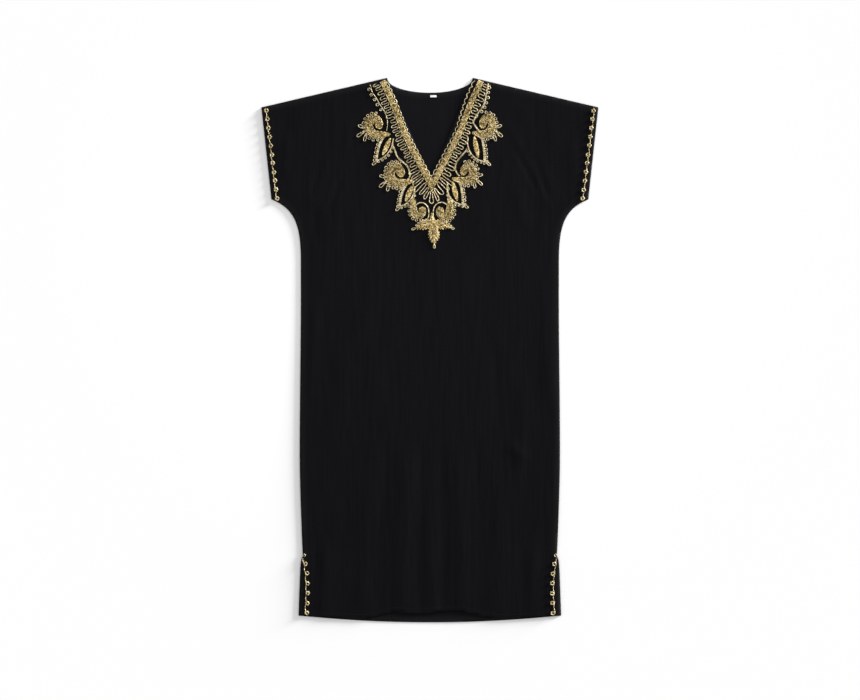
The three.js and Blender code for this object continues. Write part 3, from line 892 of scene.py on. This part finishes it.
# %% [markdown]
# A leaf hangs from each large paisley. It has a filled heart, pointed at both ends, in a frame of
# couched cord that is open at the top. The frame is three cords wide on its outer side and two on
# its inner side. It runs to a tip, with rings along both sides and a loop at the tip.
# %% Leaves
UPRIGHT_OUTER = [(4, 26), (12.4, 18.8), (15.5, 8), (17.3, -3.6), (18.5, -15), (19, -26), (20, -33)]
UPRIGHT_INNER = [(-17.5, 20), (-19.3, 8.6), (-16.5, -3), (-12, -13.7), (-3, -23.5), (8.4, -30),
                 (20, -33)]
SLANTED_OUTER = [(4, 24), (8.6, 18), (13.4, 9.4), (17.2, -1), (19.9, -12.3), (22, -23.8),
                 (22.5, -31)]
SLANTED_INNER = [(-15, 18), (-14, 9), (-12.3, 2.2), (-7.9, -7.9), (0, -18), (10.8, -26.7),
                 (19.5, -30.3)]
LEAVES = [
    # name, x, y, width, length, turn, side, frame size, frame's outer and inner side
    ("leaf_upper_right", 103.5, 455, 11.5, 48, 11, 1, 1.0, UPRIGHT_OUTER, UPRIGHT_INNER),
    ("leaf_upper_left", -97, 456, 11.5, 41, 25, -1, 1.0, SLANTED_OUTER, SLANTED_INNER),
    ("leaf_lower_right", 56, 356, 11.5, 43, 13, 1, 0.92, UPRIGHT_OUTER, UPRIGHT_INNER),
    ("leaf_lower_left", -47, 350.5, 12, 37, 23, -1, 0.92, SLANTED_OUTER, SLANTED_INNER),
]
LEAF_TIP = [(21, -32), (32, -41)]
TIP_LOOP = 6.5
LEAF_ROWS = 6
LEAF_POINT = 0.75
FRAME_CORD = 1.9
OUTER_STRANDS = (-1.5, 0.0, 1.5)
INNER_STRANDS = (-0.5, 0.5)
FRAME_RING_PITCH = 8.6
OUTER_RING_OFF = 4.2
INNER_RING_OFF, INNER_RING = 3.9, 5.2

for name, x, y, width, length, turn, side_sign, frame_size, outside, inside in LEAVES:
    place = placer(x, y, 1, turn, side_sign)
    s = np.linspace(0, 1, 30)
    middle = np.column_stack([0 * s, length * (0.5 - s)])
    half = width / 2 * np.sin(math.pi * s) ** LEAF_POINT
    cords = []
    for k in range(LEAF_ROWS):
        share = (2 * k / (LEAF_ROWS - 1) - 1) * (1 - ROW_THICK / width)
        line = place(beside(middle, half * share))
        cords.append(on_front(line, ROW_THICK, chance.uniform(0, 0.5)))
    sew(name + "_stitches", cords, gilt, "gold_thread", name)
    frame_place = placer(x, y, frame_size, 0, side_sign)
    outer, inner = frame_place(spline(outside, 8)), frame_place(spline(inside, 8))
    for line, strands in ((outer, OUTER_STRANDS), (inner, INNER_STRANDS)):
        trimmings += [on_front(beside(line, offset), FRAME_CORD, 0.2) for offset in strands]
    trimmings += rings_along(outer[8:], FRAME_RING_PITCH, -side_sign * OUTER_RING_OFF)
    trimmings += rings_along(inner[20:], FRAME_RING_PITCH, side_sign * INNER_RING_OFF, INNER_RING)
    trimmings.append(loop(*frame_place(LEAF_TIP), TIP_LOOP))

# %% [markdown]
# The border cord closes the winding cord in on its outer side. It runs in three pieces on each
# side: from the shoulder down to the first paisley's stem, from the first leaf to the next paisley,
# and beside the lowest leaf. The first piece carries rings. The two sides differ a little, as
# hand-guided work does, and where the cord is laid double, it has two strands.
# %% Border cord
BORDER_RIGHT = [
    [(131, 598), (127.4, 580), (124.2, 560.4), (118.3, 545.4), (106.3, 529), (99.6, 517.2),
     (97.3, 509.4), (101.8, 502), (110.8, 490)],
    [(84, 452), (81, 446.8), (72, 436.5), (63, 425.9), (57, 412.5), (58.6, 400.6), (66, 390)],
    [(40, 372), (39.4, 356), (40.6, 338)],
]
BORDER_LEFT = [
    [(-134, 595), (-128.5, 577), (-119, 563), (-111.5, 549), (-101.5, 534), (-96, 518), (-95, 504),
     (-97, 491.5)],
    [(-84.8, 463), (-78.7, 448.3), (-73, 433.3), (-64, 424.3), (-52, 414), (-46, 400.7),
     (-45, 388.5), (-55, 376.6), (-62, 368)],
    [(-38, 372), (-34, 356), (-36, 338)],
]
BORDER_CORD = 1.7
DOUBLE_STRAND, SINGLE_STRAND = (-0.8, 0.8), (0.0,)
SHOULDER_RING_PITCH, SHOULDER_RING_OFF, SHOULDER_RING = 12.4, 4.6, 7.0

for sign, runs in ((1, BORDER_RIGHT), (-1, BORDER_LEFT)):
    for k, run_points in enumerate(runs):
        line = spline(run_points, 8)
        strands = DOUBLE_STRAND if sign > 0 or k == 1 else SINGLE_STRAND
        trimmings += [on_front(beside(line, offset), BORDER_CORD, 0.4) for offset in strands]
        if k == 0:
            trimmings += rings_along(line[4:29], SHOULDER_RING_PITCH, -sign * SHOULDER_RING_OFF,
                                     SHOULDER_RING)
print("trimmings so far:", len(trimmings))

# %% [markdown]
# Below the point of the V, a three-lobed finial hangs from the two small scrolls, which curl
# towards each other. Its lobes are worked like feathers: short slanting stitches leave the middle
# line on both sides, and every third one runs on past the edge as a barb. The short lobe above,
# which joins the finial to the scrolls, has no barbs.
# %% Finial
FINIAL_LOBES = [
    # root x, root y, length, width, turn from straight down, where along it is widest, rings
    (8, 287, 44, 21, -71, 0.9, 1),
    (8, 287, 41, 21, 72, 0.9, -1),
    (8, 286, 50, 30, 2, 1.45, 0),
    (8, 278, 31, 15, 189, 0.6, 0),
]
BARB_STEP = 2.1
BARB_SLANT = 38
BARB_CORD = 2.6
BARB_ROOT = 280
BARB_PAST = 3.6
BARB_REACH, BARB_BACK = 0.86, 0.8
BARB_RING, LOBE_LOOP = 5.0, 5.5

slant = math.radians(BARB_SLANT)
finial_cords = []
for x, y, length, width, turn, widest, ring_side in FINIAL_LOBES:
    angle = math.radians(turn)
    away = np.array((math.sin(angle), -math.cos(angle)))
    out = np.array((away[1], -away[0]))
    root = np.array((x, y))
    finial_cords.append(on_front([root, root + away * length], ROW_THICK, 0.5))
    for k, run in enumerate(np.arange(1.0, length - 1, BARB_STEP)):
        share = run / length
        half = width / 2 * (0.4 + 0.6 * math.sin(math.pi * share ** widest)) * (1 - share ** 3)
        for barb_side in (-1, 1):
            past = BARB_PAST if (k + (barb_side > 0)) % 3 == 0 and y > BARB_ROOT else 0.0
            reach = half / math.sin(slant) * BARB_REACH + past
            way = away * math.cos(slant) + out * barb_side * math.sin(slant)
            start = root + away * max(run - reach * math.cos(slant) * BARB_BACK, 0.0)
            barb = [start, start + way * reach * 0.5, start + way * reach]
            finial_cords.append(on_front(barb, BARB_CORD, chance.uniform(0.0, 0.5)))
            if past and barb_side == ring_side:
                tip = start + way * (reach + 0.6)
                trimmings.append(ring(tip[0], tip[1], BARB_RING))
    if y > BARB_ROOT:
        trimmings.append(loop(root + away * (length - 3), root + away * (length + 8), LOBE_LOOP))
sew("finial_stitches", finial_cords, gilt, "gold_thread", "finial")

# %% [markdown]
# The rim of each small scroll is a single cord that leaves the lowest leaf, goes round over the
# scroll's head and ends at the finial. With it the trimmings are complete, and all of them become
# one piece.
# %% Scroll rims
SCROLL_RIM = [(-6, 15.5), (-1, 19), (5.5, 20.4), (13.5, 18), (20, 10.6), (22.4, 1), (22.2, -10),
              (19, -18), (12, -22)]
SCROLL_RIMS = [(31.3, 309.2, -1.07), (-24.5, 310.5, 0.98)]
RIM_CORD = 2.4

for x, y, size in SCROLL_RIMS:
    rim = spline(np.array(SCROLL_RIM) * (size, abs(size)) + (x, y), 8)
    trimmings.append(on_front(rim, RIM_CORD, 0.2, swell=0.12))
sew("embroidery_trimmings", trimmings, gilt_painted_highlight, "gold_thread")

# %% [markdown]
# The cuffs and slits have a trim of berries: a thin wavering stem, and on it small open rosettes,
# each laid with one cord in five rounded lobes, so that the cloth shows dark in its middle. The
# slit trim begins with one plain ring.
# %% Berry trims
BERRY_REACH = 3.5
BERRY_LOBE = 0.7
BERRY_LOBES = 5
BERRY_CORD = 2.8
STEM_CORD = 2.0
HEM_LIFT = 0.2
CUFF_BERRIES = 11
CUFF_BERRY_LINE = [(366.4, 536.6), (342.2, 339.7)]
CUFF_STEM_OFF = 1.2
CUFF_STEM_TOP = 7.0
SLIT_BERRIES = 6
SLIT_BERRY_LINE = [(278.8, -478.5), (275.0, -503), (273.6, -545), (275.6, -589)]
SLIT_STEM_OFF = 3.6
SLIT_STEM_TOP = 14.0
SLIT_RING = (281.6, -459.5)
STEM_WAVER, WAVER_RUN = 0.9, 3.4
BERRY_STRAY = 0.8


def berry(x, y):
    turn = np.linspace(0, 2 * math.pi, 36)[:-1] + chance.uniform(0, 6)
    reach = BERRY_REACH + BERRY_LOBE * np.cos(BERRY_LOBES * turn)
    line = np.column_stack([x + reach * np.cos(turn), y + reach * np.sin(turn)])
    return on_front(line, BERRY_CORD, HEM_LIFT + 0.2, swell=0.12, closed=True)


def berry_trim(name, line, count, stem_off, before, extra=()):
    """Berries evenly along a line, on a stem that runs beside it from a little before the first."""
    line = spaced(line, 1.0)
    ahead = line[0] + (line[0] - line[1]) * np.arange(before, 0, -1.0)[:, None]
    stem = np.vstack([ahead, line])
    waver = stem_off + STEM_WAVER * np.sin(np.arange(len(stem)) / WAVER_RUN)
    cords = [on_front(beside(stem, waver), STEM_CORD, HEM_LIFT, swell=0.3), *extra]
    run = lengths(line)
    for at in np.linspace(0, run[-1], count):
        near = at + chance.uniform(-BERRY_STRAY, BERRY_STRAY)
        x, y = (np.interp(near, run, line[:, axis]) for axis in (0, 1))
        cords.append(berry(x, y))
    sew(name + "_stitches", cords, gilt_painted_weak_glint, "gold_thread", name)


for word, sign in (("right", 1), ("left", -1)):
    berry_trim("cuff_trim_" + word, np.array(CUFF_BERRY_LINE) * (sign, 1), CUFF_BERRIES,
               -sign * CUFF_STEM_OFF, CUFF_STEM_TOP)
    slit_ring = ring(SLIT_RING[0] * sign, SLIT_RING[1])
    berry_trim("slit_trim_" + word, spline(np.array(SLIT_BERRY_LINE) * (sign, 1), 12), SLIT_BERRIES,
               -sign * SLIT_STEM_OFF, SLIT_STEM_TOP, [slit_ring])

# %% [markdown]
# The size label is a short piece of white tape, sewn in under the back neck. It is blank. Its box
# comes from the solid that it replaces. It arches a little, and its edges are softly bevelled.
# %% Size label
LABEL_ARCH, LABEL_SINK = 0.25, 0.1
LABEL_CORNER = 0.12

low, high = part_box("size_label")
bm = bmesh.new()
bmesh.ops.create_cube(bm, size=1.0)
span = [high[k] - low[k] for k in range(3)]
bmesh.ops.scale(bm, vec=span, verts=bm.verts)
bmesh.ops.translate(bm, vec=[(high[k] + low[k]) / 2 for k in range(3)], verts=bm.verts)
bmesh.ops.subdivide_edges(bm, edges=[e for e in bm.edges if e.calc_length() > 10 * MM], cuts=6)
for vert in bm.verts:
    along = (vert.co.x - low[0]) / span[0]
    vert.co.z += LABEL_ARCH * MM * math.sin(math.pi * along) - LABEL_SINK * MM
bmesh.ops.bevel(bm, geom=bm.edges[:], offset=LABEL_CORNER * MM, segments=2, profile=0.5,
                material=-1, affect="EDGES")
label_mesh = bpy.data.meshes.new("size_label_tape")
bm.to_mesh(label_mesh)
bm.free()
label_mesh.materials.append(label_tape)
label = bpy.data.objects.new("size_label_tape", label_mesh)
print("label box:", [round(v / MM, 2) for v in (*low, *high)])
scene.collection.objects.link(label)
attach(label, "root")
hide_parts("size_label")

# %% [markdown]
# The front hem and the back neck are topstitched with black thread, nearly a hem's width in from
# the edge. Each stitch is a short cord that dips into the cloth at both ends.
# %% Topstitching
STITCH = 3.2
STITCH_GAP = 0.9
STITCH_THICK = 0.55
STITCH_DIP = 0.3
NECK_STITCH_IN = 11


def topstitch(line, surface, lift):
    cords = []
    run = lengths(line)
    for start in np.arange(0, run[-1] - STITCH, STITCH):
        at = np.linspace(start, start + STITCH - STITCH_GAP, 4)
        x, y = (np.interp(at, run, line[:, axis]) for axis in (0, 1))
        z = surface(x, y) + lift + np.array([-STITCH_DIP, 0.0, 0.0, -STITCH_DIP])
        cords.append((np.column_stack([x, y, z]), np.full(4, STITCH_THICK / 2), False))
    return cords


stitches = []
hem_run = spaced(front_hem[2:-2] + (0, HEM_WIDTH - HEM_STEP / 2), 1.0)
stitches += topstitch(hem_run, front_height, HEM_RISE * 0.5)
back_run = spaced(back_neck[3:-3] - (0, NECK_STITCH_IN), 1.0)
stitches += topstitch(back_run, back_height, HEM_RISE * 0.5)
sew("hem_topstitching", stitches, black_thread, "crepe")

# %% [markdown]
# Each panel's cut is printed with its width, length and area.
def cut_area(outline):
    x, y = outline[:, 0] * MM, outline[:, 1] * MM
    return abs(float(np.dot(x, np.roll(y, 1)) - np.dot(y, np.roll(x, 1)))) / 2


for piece, outline, under in ((front, front_outline, ["back_cloth"]), (back, back_outline, [])):
    width, length = np.ptp(outline, axis=0) * MM
    print(piece.name, "cut:", round(float(width), 3), round(float(length), 3),
          "area:", round(cut_area(outline), 4))

bpy.context.view_layer.update()
